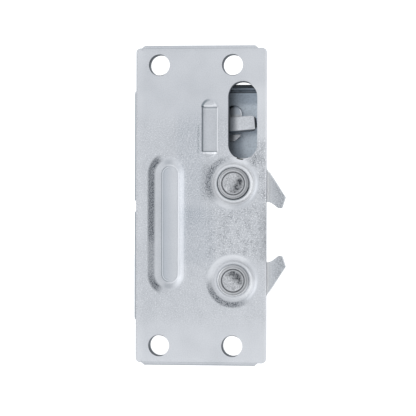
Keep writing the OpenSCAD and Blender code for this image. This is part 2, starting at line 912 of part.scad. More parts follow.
module wire(route, d) {
    n = len(route);
    points = [for (i = [0 : n - 1])
        each ring(route[i], unit(route[min(i + 1, n - 1)] - route[max(i - 1, 0)]), d / 2)];
    walls = [for (i = [0 : n - 2], k = [0 : WIRE_SIDES - 1])
        let (a = i * WIRE_SIDES + k, b = i * WIRE_SIDES + (k + 1) % WIRE_SIDES)
        each [[a, b, b + WIRE_SIDES], [a, b + WIRE_SIDES, a + WIRE_SIDES]]];
    last = (n - 1) * WIRE_SIDES;
    caps = [for (k = [1 : WIRE_SIDES - 2])
        each [[0, k + 1, k], [last, last + k, last + k + 1]]];
    polyhedron(points, concat(walls, caps));
}

// Route of a torsion spring about 0: fixed leg, coil and moving leg, wound anticlockwise
function on_coil(r, angle, y) = [r * cos(angle), y, r * sin(angle)];
function along_coil(angle) = [-sin(angle), 0, cos(angle)];
function spring_route(r, d, back_y, pitch, start, turn, fixed_leg, moving_leg) =
    let (steps = ceil(turn / 360 * COIL_RINGS),
         front_y = back_y - pitch * turn / 360,
         leg_in = on_coil(r, start, back_y) - fixed_leg * along_coil(start),
         leg_out = on_coil(r, start + turn, front_y) + moving_leg * along_coil(start + turn))
    concat([leg_in],
           [for (i = [0 : steps])
               on_coil(r, start + turn * i / steps, back_y - pitch * turn / 360 * i / steps)],
           [leg_out]);

// Least gap between parts of a wire more than half a turn apart
function least_gap(route, d) =
    let (n = len(route))
    min([for (i = [0 : n - 1], j = [i : n - 1])
        if (j - i > COIL_RINGS / 2) norm(route[i] - route[j])]) - d;

// A spring post's neck, and the bearing where the fixed leg leaves the coil
post_neck_r = post_neck_d / 2;
post_tail_r = 1.6;
post_gap = post_neck_r + claw_wire_d / 2 + face_gap;
function leg_bearing(post) =
    atan2(post[1], post[0]) + acos((claw_coil_r - post_gap) / norm(post));
function leg_length(post) =
    sqrt(pow(norm(post), 2) - pow(claw_coil_r - post_gap, 2)) + post_neck_r;

upper_post = [-post_side, upper_post_up];
lower_post = [-post_side, lower_post_down];
post_places = [upper_pivot + upper_post, lower_pivot + [lower_post[0], -lower_post[1]]];
claw_spring_y = case_floor_y - face_gap - claw_wire_d / 2;
SPRING_TURNS = 2;
LEG_END_ANGLE = 270;
moving_leg_len = peg_place[0] + peg_r;

module claw_spring(post) {
    start = leg_bearing(post);
    turn = LEG_END_ANGLE - start + 360 * SPRING_TURNS;
    route = spring_route(claw_coil_r, claw_wire_d, claw_spring_y, claw_coil_pitch, start, turn,
                         leg_length(post), moving_leg_len);
    echo("least gap of a claw spring to itself", least_gap(route, claw_wire_d));
    wire(route, claw_wire_d);
}

module upper_claw_spring() {
    color([0.35, 0.36, 0.38])
    translate([upper_pivot[0], 0, upper_pivot[1]])
        claw_spring(upper_post);
}

module lower_claw_spring() {
    color([0.35, 0.36, 0.38])
    translate([lower_pivot[0], 0, lower_pivot[1]])
        mirror([0, 0, 1])
            claw_spring(lower_post);
}

// Posts with a domed head in front of the spring's leg and a riveted tail behind the case
post_head_h = 1.6;
post_tail_h = 1;
POST_DOME = [[0, 0], [0.64, 0.06], [0.9, 0.25], [1, 0.55], [1, 0.8]];
module spring_posts() {
    head_y = claw_spring_y - claw_wire_d / 2 - face_gap - post_head_h;
    head_r = post_head_d / 2;
    color([0.70, 0.72, 0.75])
    for (place = post_places)
        turned_about(place)
            polygon(concat(
                [for (share = POST_DOME) [share.x * head_r, head_y + share.y * post_head_h]],
                [
                    [post_neck_r, head_y + post_head_h],
                    [post_neck_r, case_floor_y],
                    [post_tail_r, case_floor_y],
                    [post_tail_r, case_back_y],
                    [post_neck_r, case_back_y],
                    [post_neck_r * TAIL_TOP[0], case_back_y + post_tail_h],
                    [0, case_back_y + post_tail_h]
                ]));
}

lever_spring_y = case_floor_y - face_gap - lever_wire_d / 2;
lever_leg_start = 300;
module lever_spring() {
    turn = LEG_END_ANGLE + lever_tilt - lever_leg_start + 360 * SPRING_TURNS;
    wall_x = -case_left + case_t + face_gap - pawl_x;
    fixed_leg = (lever_coil_r * cos(lever_leg_start) - wall_x) / -sin(lever_leg_start)
                - lever_wire_d / 4;
    route = spring_route(lever_coil_r, lever_wire_d, lever_spring_y, lever_coil_pitch,
                         lever_leg_start, turn, fixed_leg, lever_peg_place[0] + lever_peg_r);
    echo("least gap of the lever spring to itself", least_gap(route, lever_wire_d));
    color([0.35, 0.36, 0.38])
    translate([pawl_pivot[0], 0, pawl_pivot[1]])
        wire(route, lever_wire_d);
}

// Rubber bumper that the lower claw meets when the jaw is open
bumper_floor_z = -case_h / 2 + case_t;
bumper_y = claw_y + claw_t / 2;
bumper_pin_r = 1.5;
bumper_roof = 1.2;

module bumper_block() {
    translate([bumper_x - bumper_w / 2, bumper_y - claw_t / 2, bumper_floor_z])
        cube([bumper_w, claw_t, bumper_h]);
}

module bumper_bore(r, z, h) {
    translate([bumper_x, bumper_y, z])
        cylinder(r = r, h = h);
}

module claw_bumper() {
    color([0.10, 0.10, 0.11])
    difference() {
        bumper_block();
        bumper_bore(bumper_pin_r, bumper_floor_z - cut, bumper_h + cut - bumper_roof);
    }
}

module bumper_rivet() {
    color([0.70, 0.72, 0.75])
    bumper_bore(bumper_pin_r, bumper_floor_z, bumper_h - bumper_roof - face_gap);
}

front_plate();
back_housing();
upper_pivot_rivet();
lower_pivot_rivet();
pivot_spacers();
upper_claw();
lower_claw();
upper_claw_bush();
lower_claw_bush();
claw_washers();
upper_claw_spring();
lower_claw_spring();
spring_posts();
pawl();
pawl_bush();
pawl_pivot_rivet();
pawl_spacer();
release_lever();
lever_spring();
claw_bumper();
bumper_rivet();
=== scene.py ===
import json
import math

import bmesh
import bpy
from mathutils import Matrix, Quaternion, Vector

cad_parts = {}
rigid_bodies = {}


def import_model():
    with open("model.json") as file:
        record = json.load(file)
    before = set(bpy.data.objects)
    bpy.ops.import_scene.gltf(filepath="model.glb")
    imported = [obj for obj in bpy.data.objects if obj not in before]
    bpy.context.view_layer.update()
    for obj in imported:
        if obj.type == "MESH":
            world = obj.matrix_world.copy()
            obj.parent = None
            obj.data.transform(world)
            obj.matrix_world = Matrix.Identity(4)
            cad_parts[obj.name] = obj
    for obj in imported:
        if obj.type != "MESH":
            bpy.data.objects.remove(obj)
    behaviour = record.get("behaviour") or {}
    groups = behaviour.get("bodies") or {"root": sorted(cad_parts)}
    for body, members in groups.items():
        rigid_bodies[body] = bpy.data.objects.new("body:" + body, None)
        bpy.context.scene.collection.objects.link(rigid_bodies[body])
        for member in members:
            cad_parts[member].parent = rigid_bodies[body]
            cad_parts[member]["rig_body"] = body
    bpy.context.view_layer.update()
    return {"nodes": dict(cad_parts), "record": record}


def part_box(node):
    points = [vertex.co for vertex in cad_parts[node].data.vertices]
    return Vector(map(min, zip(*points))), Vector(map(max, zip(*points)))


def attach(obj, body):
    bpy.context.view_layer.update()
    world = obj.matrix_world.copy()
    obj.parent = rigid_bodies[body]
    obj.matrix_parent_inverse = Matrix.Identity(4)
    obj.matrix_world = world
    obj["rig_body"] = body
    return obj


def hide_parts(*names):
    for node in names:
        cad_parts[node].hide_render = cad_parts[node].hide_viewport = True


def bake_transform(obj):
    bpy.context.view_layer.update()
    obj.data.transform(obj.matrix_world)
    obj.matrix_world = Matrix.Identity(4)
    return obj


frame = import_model()

# Face plate: sheet steel pressed with a rib, two dishes and a strip, and punched for a slot and four bolts.
# It is plated with zinc after pressing: cut edges are eased, and the pressed bends are grainy, with painted
# shade and painted highlights laid over them and over the sheet.
# Sizes are in millimetres, here and below, and places on the plate are measured from its bolts' middle.
MM = 0.001
SHARP_ANGLE = 35
FLAT_ANGLE = 0.6
MERGE_GAP = 0.02


def both_ways(operation):
    """The forward and the reflected form of a sum or product of socket values."""
    def forward(value, other):
        return value.shader.maths(operation, value, other)

    def reflected(value, other):
        return value.shader.maths(operation, other, value)

    return forward, reflected


class Value:
    """A shader socket that can be used in Python expressions."""
    __add__, __radd__ = both_ways("ADD")
    __sub__, __rsub__ = both_ways("SUBTRACT")
    __mul__, __rmul__ = both_ways("MULTIPLY")
    __truediv__, __rtruediv__ = both_ways("DIVIDE")

    def __init__(self, shader, socket):
        self.shader = shader
        self.socket = socket


class Shader:
    """The shader nodes of one finish, or of the room. They start from an empty tree."""

    def __init__(self, owner):
        owner.use_nodes = True
        self.tree = owner.node_tree
        self.tree.nodes.clear()

    def node(self, kind, settings, sockets, output=0):
        """Adds a node, sets it and its sockets, and gives one of its outputs, if it has any."""
        made = self.tree.nodes.new("ShaderNode" + kind)
        for name, setting in settings.items():
            setattr(made, name, setting)
        for name, value in sockets.items():
            if isinstance(value, Value):
                self.tree.links.new(value.socket, made.inputs[name])
            else:
                made.inputs[name].default_value = value
        return Value(self, made.outputs[output]) if made.outputs else None

    def maths(self, operation, *values):
        return self.node("Math", {"operation": operation}, dict(enumerate(values)))

    def axes(self, coordinates):
        """X, Y and Z of the shaded point, in the coordinates' own unit."""
        place = self.node("TexCoord", {}, {}, coordinates)
        return [self.node("SeparateXYZ", {}, {"Vector": place}, axis) for axis in "XYZ"]

    def point(self):
        """X, Y and Z of the shaded point of a piece at rest, in millimetres."""
        return [value * 1000 for value in self.axes("Object")]

    def noise(self, size_mm, detail=2.0, stretch=(1, 1, 1), swirl=0.0):
        """Noise from 0 to 1 whose clouds are about size_mm wide, longer where stretch is small."""
        place = self.node("TexCoord", {}, {}, "Object")
        place = self.node("Mapping", {}, {"Vector": place, "Scale": stretch})
        scale = 1 / (size_mm * MM)
        return self.node("TexNoise", {},
                         {"Vector": place, "Scale": scale, "Detail": detail, "Distortion": swirl})

    def fade(self, value, low, high):
        """0 below low and 1 above high, with a soft step between them."""
        return self.node("MapRange", {"interpolation_type": "SMOOTHSTEP"},
                         {"Value": value, "From Min": low, "From Max": high})

    def band(self, value, low, high, soft):
        """1 between low and high, fading out over soft on both sides."""
        return self.fade(value, low - soft, low) * (1 - self.fade(value, high, high + soft))

    def mix(self, a, b, share):
        """Colour a going over to colour b as share goes from 0 to 1."""
        a, b = [c if isinstance(c, Value) else (*c, 1) for c in (a, b)]
        return self.node("Mix", {"data_type": "RGBA"}, {0: share, 6: a, 7: b}, 2)

    def distance(self, across, up):
        return self.maths("SQRT", across * across + up * up)

    def surface(self, colour, roughness, metallic, height, depth_mm, **gloss):
        """Joins colour, roughness and relief to the output. Relief is height, from 0 to 1, over depth_mm."""
        normal = self.node("Bump", {}, {"Height": height, "Distance": depth_mm * MM, "Strength": 1.0})
        sockets = {"Base Color": colour, "Roughness": roughness, "Metallic": metallic, "Normal": normal}
        sockets.update({name.replace("_", " "): value for name, value in gloss.items()})
        shaded = self.node("BsdfPrincipled", {}, sockets)
        self.node("OutputMaterial", {}, {"Surface": shaded})


def plated(name, bright, dull, roughness, grain_mm=0.9, layers=None, **gloss):
    """Zinc plating: faint clouds and fine specks, and over them each share and colour that layers gives."""
    material = bpy.data.materials.new(name)
    shader = Shader(material)
    speck = shader.noise(grain_mm, 3.0)
    fine = shader.noise(grain_mm * 0.45, 2.0)
    cloud = shader.noise(14.0, 2.0)
    wear = shader.fade(cloud, 0.35, 0.75) * 0.2 + shader.fade(fine, 0.42, 0.62) * 0.22
    colour = shader.mix(bright, dull, wear)
    for share, shade in (layers(shader) if layers else ()):
        colour = shader.mix(colour, shade, share)
    shader.surface(colour, roughness + speck * 0.12, metallic=0.92, height=speck * 0.6 + fine * 0.4,
                   depth_mm=0.012, **gloss)
    return material


def finished(work, name, material):
    """Makes a bmesh into a piece with smooth faces, whose corners past the sharp angle stay crisp."""
    for face in work.faces:
        face.smooth = True
    for edge in work.edges:
        edge.smooth = edge.calc_face_angle(0) < math.radians(SHARP_ANGLE)
    mesh = bpy.data.meshes.new(name)
    work.to_mesh(mesh)
    work.free()
    mesh.materials.append(material)
    piece = bpy.data.objects.new(name, mesh)
    bpy.context.scene.collection.objects.link(piece)
    piece.modifiers.new("even_shading", "WEIGHTED_NORMAL").keep_sharp = True
    return piece


def fitted(piece, node):
    """The piece stands for a CAD node: it rides with the node's body, and the node is hidden."""
    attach(piece, frame["nodes"][node]["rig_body"])
    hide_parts(node)


def round_corners(work, radius_mm, least_angle):
    """Rounds each edge whose faces meet at more than the least angle."""
    corners = [edge for edge in work.edges
               if edge.is_manifold and edge.calc_face_angle(0) > math.radians(least_angle)]
    bmesh.ops.bevel(work, geom=corners, offset=radius_mm * MM, offset_type="OFFSET", segments=2,
                    profile=0.5, affect="EDGES", clamp_overlap=True, material=-1)


def eased(node, material, ease):
    """A copy of a CAD piece with its sharp edges rounded, as tumbling and plating leave them."""
    work = bmesh.new()
    work.from_mesh(frame["nodes"][node].data)
    bmesh.ops.remove_doubles(work, verts=work.verts, dist=MERGE_GAP * MM)
    bmesh.ops.dissolve_limit(work, angle_limit=math.radians(FLAT_ANGLE), verts=work.verts, edges=work.edges)
    round_corners(work, ease, SHARP_ANGLE)
    fitted(finished(work, node + "_finished", material), node)


def middle_of(node):
    return sum(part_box(node), Vector()) / 2


class Around:
    """How far the shaded point lies across, up and away from a place on the plate."""

    def __init__(self, across, up):
        self.shader = across.shader
        self.across = across
        self.up = up
        self.away = self.shader.distance(across, up)

    def reach(self, angle):
        """How far the shaded point lies in one direction, given by its angle from the right."""
        lean = math.radians(angle)
        return self.across * math.cos(lean) + self.up * math.sin(lean)

    def facing(self, angle, low, high):
        """Fades from 0 to 1 by the cosine of the angle between that direction and the shaded point's."""
        return self.shader.fade(self.reach(angle) / self.away, low, high)


def around_pivot(x, z, pivot):
    return Around(x - pivot.x * 1000, z - pivot.z * 1000)


def from_long_hole(shader, x, z, middle, half):
    """Distance from an upright line of given half length, about which ribs and slots are laid out."""
    up = z - middle[1]
    past_end = up - shader.maths("MAXIMUM", shader.maths("MINIMUM", up, half), -half)
    return shader.distance(x - middle[0], past_end)


UPPER_PIVOT = middle_of("upper_pivot_rivet")
LOWER_PIVOT = middle_of("lower_pivot_rivet")
PLATE_LOW, PLATE_HIGH = [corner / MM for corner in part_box("front_plate")]
# Plate colours. The dull tone is both the plating's own dullness and painted shade, and the dark grain
# colour is both grain and painted shade.
PLATE_BRIGHT = (0.55, 0.565, 0.595)
PLATE_DULL_AND_PAINTED_SHADE = (0.34, 0.36, 0.39)
PLATE_BLUE = (0.32, 0.355, 0.405)
GRAIN_AND_PAINTED_SHADE = (0.075, 0.085, 0.10)
# The next colours are painted light: a painted sheen, a painted highlight, a painted shade line, painted
# deep shade on walls and rims, and painted shade inside holes.
PAINTED_SHEEN = (0.70, 0.71, 0.73)
PAINTED_HIGHLIGHT = (0.90, 0.91, 0.93)
PAINTED_SHADE_LINE = (0.16, 0.19, 0.21)
PAINTED_DEEP_SHADE = (0.07, 0.078, 0.09)
PAINTED_HOLE_SHADE = (0.006, 0.010, 0.012)

RIB = (-11.5, -8.0)
RIB_HALF = 21.4
RIB_FLOOR_R = 3.4
RIB_EDGE_R = 6.9


def rib_layers(shader, x, z, grain):
    """Grainy painted shade left of the rib, painted shade at its ends, a painted highlight on its right
    slope, and painted lines of shade and light round its floor.
    """
    away = from_long_hole(shader, x, z, RIB, RIB_HALF)
    right = (x - RIB[0]) / away
    left = 0 - right
    on_left = shader.fade(left, 0, 0.5)
    fine_grain = shader.fade(shader.noise(0.36, 3.0), 0.42, 0.6)
    grainy_painted_shade = shader.band(away, RIB_EDGE_R + 0.05, RIB_EDGE_R + 1.6, 1.3) * shader.fade(left, 0.3, 0.75)
    grainy_painted_shade = grainy_painted_shade * (1 - shader.band(z, -27, -18, 6) * 0.35)
    at_ends = 1 - shader.fade(shader.maths("ABSOLUTE", right + 0.1), 0.05, 0.6)
    ends = shader.band(away, RIB_FLOOR_R + 1.5, RIB_FLOOR_R + 2.1, 1.3) * at_ends
    slope = shader.band(away, RIB_FLOOR_R + 0.2, RIB_EDGE_R - 0.6, 0.2) * shader.fade(right, 0.2, 0.7)
    foot = shader.band(away, RIB_FLOOR_R + 0.15, RIB_FLOOR_R + 0.6, 0.2) * shader.fade(right, -0.5, 0.3)
    slope_line = shader.band(away, RIB_EDGE_R - 0.15, RIB_EDGE_R, 0.15) * shader.fade(right, 0.5, 0.8)
    floor = shader.band(away, 0, RIB_FLOOR_R, 0.1)
    lit = shader.fade(x - RIB[0], -RIB_FLOOR_R, RIB_FLOOR_R)
    line = shader.band(away, RIB_FLOOR_R - 0.1, RIB_FLOOR_R + 0.1, 0.12)
    inner_line = shader.band(away, RIB_FLOOR_R - 0.9, RIB_FLOOR_R - 0.75, 0.12) * on_left
    between = shader.band(away, RIB_FLOOR_R - 0.5, RIB_FLOOR_R - 0.35, 0.12) * on_left
    # Painted shade: grainy left of the rib, at its ends, in a line on the right slope, round the floor and
    # over the floor's left half. Painted highlights: on the right slope, at its foot, over the floor's right
    # half and between the floor's lines.
    return [
        (grainy_painted_shade * (0.5 + fine_grain * 0.5), GRAIN_AND_PAINTED_SHADE),
        (ends * 0.6, PLATE_DULL_AND_PAINTED_SHADE),
        (slope * 0.06, PAINTED_HIGHLIGHT),
        (foot * 0.3, PAINTED_HIGHLIGHT),
        (slope_line * (0.1 + grain * 0.12), PAINTED_SHADE_LINE),
        (floor * (1 - lit) * 0.5, PLATE_BLUE),
        (floor * lit * 0.15, PAINTED_SHEEN),
        (line * (0.2 + on_left * 0.35), PAINTED_SHADE_LINE),
        (inner_line * 0.35, PAINTED_SHADE_LINE),
        (between * 0.3, PAINTED_HIGHLIGHT),
    ]


RIVET_HEAD_R = 6.9
DISH_FLOOR_R = 7.5
DISH_BEND_R = 8.9
DISH_EDGE_R = 10.7
# For each dish: the share of painted highlight on its ring, the angle and share of the painted shadow line
# at its rivet, and its crescent of grainy painted shade.
DISHES = (
    {"pivot": UPPER_PIVOT, "painted_sheen_share": 0.28, "contact": (225, 0.7), "crescent": (158, 10.2, 11.4, 0.22)},
    {"pivot": LOWER_PIVOT, "painted_sheen_share": 0.1, "contact": (130, 0.25), "crescent": (243, 9.7, 10.9, 0.42)},
)


def dish_layers(shader, x, z, grain, pivot, painted_sheen_share, contact, crescent):
    """A dish has a painted highlight beside its rivet, a painted shadow line right at it, and grainy painted
    shade in a crescent outside it.

    Contact is the angle and share of the painted shadow line, and crescent is its angle, its two radii and
    its share.
    """
    dish = around_pivot(x, z, pivot)
    contact_angle, contact_share = contact
    angle, inner, outer, share = crescent
    painted_sheen_zone = shader.band(dish.away, DISH_FLOOR_R, DISH_BEND_R, 0.5)
    below = dish.facing(-60, -0.7, 0.3)
    right = dish.facing(-8, 0.3, 1.0)
    at_rivet = shader.band(dish.away, RIVET_HEAD_R - 0.05, RIVET_HEAD_R + 0.3, 0.25)
    at_rivet = at_rivet * dish.facing(contact_angle, -0.9, 0.1)
    outer_ring = shader.band(dish.away, DISH_BEND_R, DISH_EDGE_R, 0.8) * (1 - dish.facing(angle, 0.1, 0.6))
    shaded = shader.band(dish.away, DISH_BEND_R + 0.3, DISH_EDGE_R, 0.8) * dish.facing(-25, 0.2, 0.9)
    grainy_painted_shade = shader.band(dish.away, inner, outer, 1.1) * dish.facing(angle, 0.3, 0.9)
    # Painted highlights beside the rivet and on the outer ring, a painted shadow line at the rivet, painted
    # shade at the lower right of the slope, and grainy painted shade in the crescent.
    return [
        (painted_sheen_zone * (painted_sheen_share + below * 0.08 + right * 0.24), PAINTED_HIGHLIGHT),
        (at_rivet * contact_share, PAINTED_SHADE_LINE),
        (outer_ring * (0.25 - dish.facing(-20, 0, 0.6) * 0.3), PAINTED_HIGHLIGHT),
        (shaded * 0.2, PLATE_DULL_AND_PAINTED_SHADE),
        (grainy_painted_shade * (share + grain * 0.5), GRAIN_AND_PAINTED_SHADE),
    ]


STRIP = (6.05, 32.45)
STRIP_HALF_W = 2.9
STRIP_HALF_H = 9.25


def strip_layers(shader, x, z, grain):
    """The strip's flat face has a little painted shade, with painted lines of shade and highlight round it
    and a painted dark arc over its top.
    """
    across = x - STRIP[0]
    side = shader.maths("ABSOLUTE", across)
    up = shader.maths("ABSOLUTE", z - STRIP[1])
    on_face = shader.band(side, 0, STRIP_HALF_W - 0.1, 0.15) * shader.band(up, 0, STRIP_HALF_H - 0.1, 0.15)
    beside = shader.band(up, 0, STRIP_HALF_H, 0.3)
    left_line = shader.band(across, -STRIP_HALF_W - 0.55, -STRIP_HALF_W - 0.3, 0.2) * beside
    right_line = shader.band(across, STRIP_HALF_W + 0.1, STRIP_HALF_W + 0.3, 0.2) * beside
    between = shader.band(side, 0, STRIP_HALF_W, 0.3)
    end_line = shader.band(up, STRIP_HALF_H, STRIP_HALF_H + 0.25, 0.15) * between
    end_glint = shader.band(up, STRIP_HALF_H - 0.75, STRIP_HALF_H - 0.45, 0.2) * between
    end_glint = end_glint * shader.fade(z, 35, 40)
    lip = shader.band(up, STRIP_HALF_H + 0.6, STRIP_HALF_H + 1.1, 0.3) * between
    past_end = up - STRIP_HALF_H
    on_top = shader.fade(z, STRIP[1], STRIP[1] + 1) * shader.fade(past_end, 0, 0.6)
    arc = shader.band(shader.distance(across, past_end), 3.15, 3.6, 0.5) * on_top
    arc_left = shader.fade(0 - across, -0.8, 2.4)
    left_foot = shader.band(across, -5.2, -4.8, 0.35) * shader.band(z, 23.5, 33, 2)
    # All painted light: shade on the face, shade lines at the left and the ends, highlights at the right,
    # the top and the lip, the arc's shade, and a grainy shade line further left.
    return [
        (on_face * 0.15, PLATE_DULL_AND_PAINTED_SHADE),
        (left_line * 0.7, PAINTED_SHADE_LINE),
        (right_line * 0.8, PAINTED_HIGHLIGHT),
        (end_line * 0.7, PAINTED_SHADE_LINE),
        (end_glint * 0.1, PAINTED_HIGHLIGHT),
        (lip * 0.5, PAINTED_HIGHLIGHT),
        (arc * (0.12 + arc_left * 0.75), PAINTED_SHADE_LINE),
        (left_foot * (0.12 + grain * 0.5), PAINTED_SHADE_LINE),
    ]


def wall_layers(shader, depth, across, away, radius):
    """The wall of a punched hole keeps no plating; it has painted shade at the left and a painted highlight
    at the right.
    """
    right = shader.fade(across / away, 0.3, 0.8)
    wall = 1 - shader.fade(away + right * 0.1, radius + 0.1, radius + 0.3)
    near_front = 1 - shader.fade(depth, 1, 4) * 0.5
    return [(wall * (1 - right) * near_front, PAINTED_DEEP_SHADE), (wall * right * 0.5, PAINTED_SHEEN)]


SLOT = (20.2, 36.2)
SLOT_HALF = 10.2
SLOT_R = 6.15
SLOT_TOP = SLOT[1] + SLOT_HALF + SLOT_R
SLOT_FOOT = SLOT[1] - SLOT_HALF - SLOT_R


def slot_layers(shader, x, depth, z):
    """The slot's rim has painted shade at the top, and a painted highlight on its lip and a short painted
    dark arc of shade at the foot.
    """
    away = from_long_hole(shader, x, z, SLOT, SLOT_HALF)
    top_rim = shader.fade(z, SLOT_TOP - 4.15, SLOT_TOP) * 0.3
    low = 1 - shader.fade(z, SLOT_FOOT + 0.3, SLOT_FOOT + 1)
    lip = shader.band(away, SLOT_R - 0.1, SLOT_R + 0.12, 0.08) * low
    painted_foot_shade = shader.band(away, SLOT_R - 0.1, SLOT_R + 0.38, 0.1) * shader.band(x, 17.8, 20.0, 0.6) * low
    # The wall's painted shade is widened at the top; the lip is a painted highlight and the dark arc under
    # it is painted shade.
    layers = wall_layers(shader, depth, x - SLOT[0], away - top_rim, SLOT_R)
    return layers + [(lip, PAINTED_HIGHLIGHT), (painted_foot_shade * 0.95, PAINTED_HOLE_SHADE)]


BOLTS = next(mount["dims"] for mount in frame["record"]["mounts"] if mount["name"] == "mounting_bolts")
BOLT_R = BOLTS["hole_r_mm"]
BOLT_SHADE_ANGLE = 131.3


def bolt_layers(shader, x, depth, z):
    """Deep inside, each bolt hole has painted shade, darkest at the left, towards the nearer end of the
    plate.
    """
    outward = shader.maths("ABSOLUTE", z) - BOLTS["spacing_y_mm"] / 2
    across = (shader.maths("ABSOLUTE", x) - BOLTS["spacing_x_mm"] / 2) * shader.maths("SIGN", x)
    hole = Around(across, outward)
    in_shade = hole.facing(BOLT_SHADE_ANGLE, 0.2, 0.95)
    inside = (1 - shader.fade(hole.away, BOLT_R - 0.1, BOLT_R + 0.12)) * shader.fade(depth, 0.2, 0.8)
    return wall_layers(shader, depth, across, hole.away, BOLT_R) + [(inside * in_shade * 0.9, PAINTED_HOLE_SHADE)]


FLANGE_Z = PLATE_HIGH.z - 1.45


def plate_layers(shader):
    """Grain and wear on the sheet, with painted glints, painted shade and painted highlights at its forms
    and edges, over broad changes of its tone that are mostly painted light.
    """
    x, depth, z = shader.point()

    def patch(across, upward):
        """1 in a rectangle, whose low end, high end and soft edge are given across and upward."""
        return shader.band(x, *across) * shader.band(z, *upward)

    grain = shader.fade(shader.noise(0.5, 2.0), 0.44, 0.6)
    patchy = 0.4 + shader.fade(shader.noise(3.5, 2.0), 0.35, 0.65)
    coarse = shader.fade(shader.noise(1.05, 4.0, swirl=3.5), 0.49, 0.6) * patchy
    glints = shader.fade(shader.noise(0.55, 3.0), 0.52, 0.68)

    flat = 1 - shader.band(from_long_hole(shader, x, z, RIB, RIB_HALF), 0, RIB_EDGE_R - 0.4, 1)
    for pivot in (UPPER_PIVOT, LOWER_PIVOT):
        flat = flat * (1 - shader.band(around_pivot(x, z, pivot).away, 0, DISH_EDGE_R - 0.2, 1.5))
    on_strip = patch((STRIP[0] - 3.3, STRIP[0] + 3.3, 0.3), (22.5, 42, 0.5))

    # Bluish, slightly darker patches and mottled grain are tone of the sheet, and the glints on the grain
    # are painted. Beside and under the slot and beside the upper dish there is grainy painted shade.
    bluish = patch((-6, 1, 4), (-2, 34, 12)) + patch((-4, 6, 4), (-22, -4, 6))
    middle = patch((9, 30, 7), (-20, -3, 5))
    beside_claw = patch((25, 30, 3), (2, 26, 5)) * 1.2
    mottled = shader.maths("MAXIMUM", middle, beside_claw) * flat
    beside_slot = patch((25.5, 30, 2), (20, 28, 4))
    under_slot = patch((23.5, 27, 2.5), (17.5, 21, 2.5))
    beside_dish = patch((4, 7, 3), (5, 15, 5))
    worn_and_glinting = flat * shader.band(z, -45, 32, 12) * (1 - on_strip)
    # Painted light at the right beside the slot, at both ends and along the left edge.
    right_light = patch((26, 31, 2.5), (30, 48, 6))
    end_light = (1 - shader.fade(z, -60, -35)) * 0.1 + shader.fade(z, 50, 64) * 0.04
    light = (1 - shader.fade(x, -25, -21)) * 0.08 + end_light

    # Painted shade lines at the flange bends and the bottom edge, painted shade on the flanges, darker bands
    # at the edges, and a painted highlight along the right edge.
    high = shader.maths("ABSOLUTE", z)
    flange_line = shader.band(high, FLANGE_Z, FLANGE_Z + 0.2, 0.12)
    flange_end = shader.fade(high, FLANGE_Z + 0.2, FLANGE_Z + 0.5)
    bottom_line = 1 - shader.fade(z, PLATE_LOW.z + 0.3, PLATE_LOW.z + 0.65)
    left_edge = shader.band(x, PLATE_LOW.x + 0.3, PLATE_LOW.x + 0.5, 0.15) * grain
    dark_edge = shader.fade(x, 25, 30) * shader.band(z, -20, -4, 7) + left_edge
    bright_edge = shader.fade(x, PLATE_HIGH.x - 0.5, PLATE_HIGH.x - 0.3) * (1 - shader.band(z, -22, -3, 4))
    # The first layer is a painted rise of light towards the right.
    layers = [
        (shader.fade(x, 6, 30) * 0.12, PAINTED_SHEEN),
        (bluish * (0.1 + grain * 0.28), PLATE_BLUE),
        (mottled * coarse * 0.4, GRAIN_AND_PAINTED_SHADE),
        (beside_slot * (0.12 + grain * 0.2), PLATE_DULL_AND_PAINTED_SHADE),
        (under_slot * (0.08 + coarse * 0.35), GRAIN_AND_PAINTED_SHADE),
        (mottled * glints * 0.4, PAINTED_HIGHLIGHT),
        (light, PAINTED_HIGHLIGHT),
        (worn_and_glinting * (grain * 0.13 + coarse * 0.08), GRAIN_AND_PAINTED_SHADE),
        (worn_and_glinting * glints * 0.3, PAINTED_HIGHLIGHT),
        (right_light * 0.35, PAINTED_SHEEN),
        (flange_line * 0.3, PAINTED_SHADE_LINE),
        (flange_end * 0.2, PLATE_DULL_AND_PAINTED_SHADE),
        (bottom_line * 0.35, PAINTED_SHADE_LINE),
        (dark_edge * 0.22, GRAIN_AND_PAINTED_SHADE),
        (bright_edge * 0.25, PAINTED_HIGHLIGHT),
        (beside_dish * (0.15 + grain * 0.3), GRAIN_AND_PAINTED_SHADE),
    ]
    layers += rib_layers(shader, x, z, grain)
    for dish in DISHES:
        layers += dish_layers(shader, x, z, grain, **dish)
    layers += strip_layers(shader, x, z, grain)
    return layers + slot_layers(shader, x, depth, z) + bolt_layers(shader, x, depth, z)


plate_finish = plated("zinc_plate", PLATE_BRIGHT, PLATE_DULL_AND_PAINTED_SHADE, 0.34, layers=plate_layers,
                      Specular_Tint=(0.5, 0.52, 0.55, 1))
eased("front_plate", plate_finish, ease=0.22)

# Pivot rivets: turned steel pins, with heads formed over the plate and tails formed over the case.
# The forming tool leaves rings in each head and rubs its middle, so that it is mottled grey. Painted shade
# lies in the rings and at the upper head's rim, the lower head's rim has a painted highlight, and both faces
# have painted glints.
CASE_LOW, CASE_HIGH = [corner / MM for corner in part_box("back_housing")]
CASE_T = 1.5
CASE_BACK_Y = 19.5
CASE_FLOOR_Y = CASE_BACK_Y - CASE_T
HEAD_SEAT_Y = 1.7
RIVET_FACE_R = 4.45
RIVET_GROOVE_R = 4.95
RIVET_RING_R = 5.9
PIN_R = 4.0
NECK_R = 3.0
TAIL_R = 5.0
HEAD_BRIGHT = (0.48, 0.49, 0.51)
HEAD_DARK = (0.035, 0.039, 0.045)


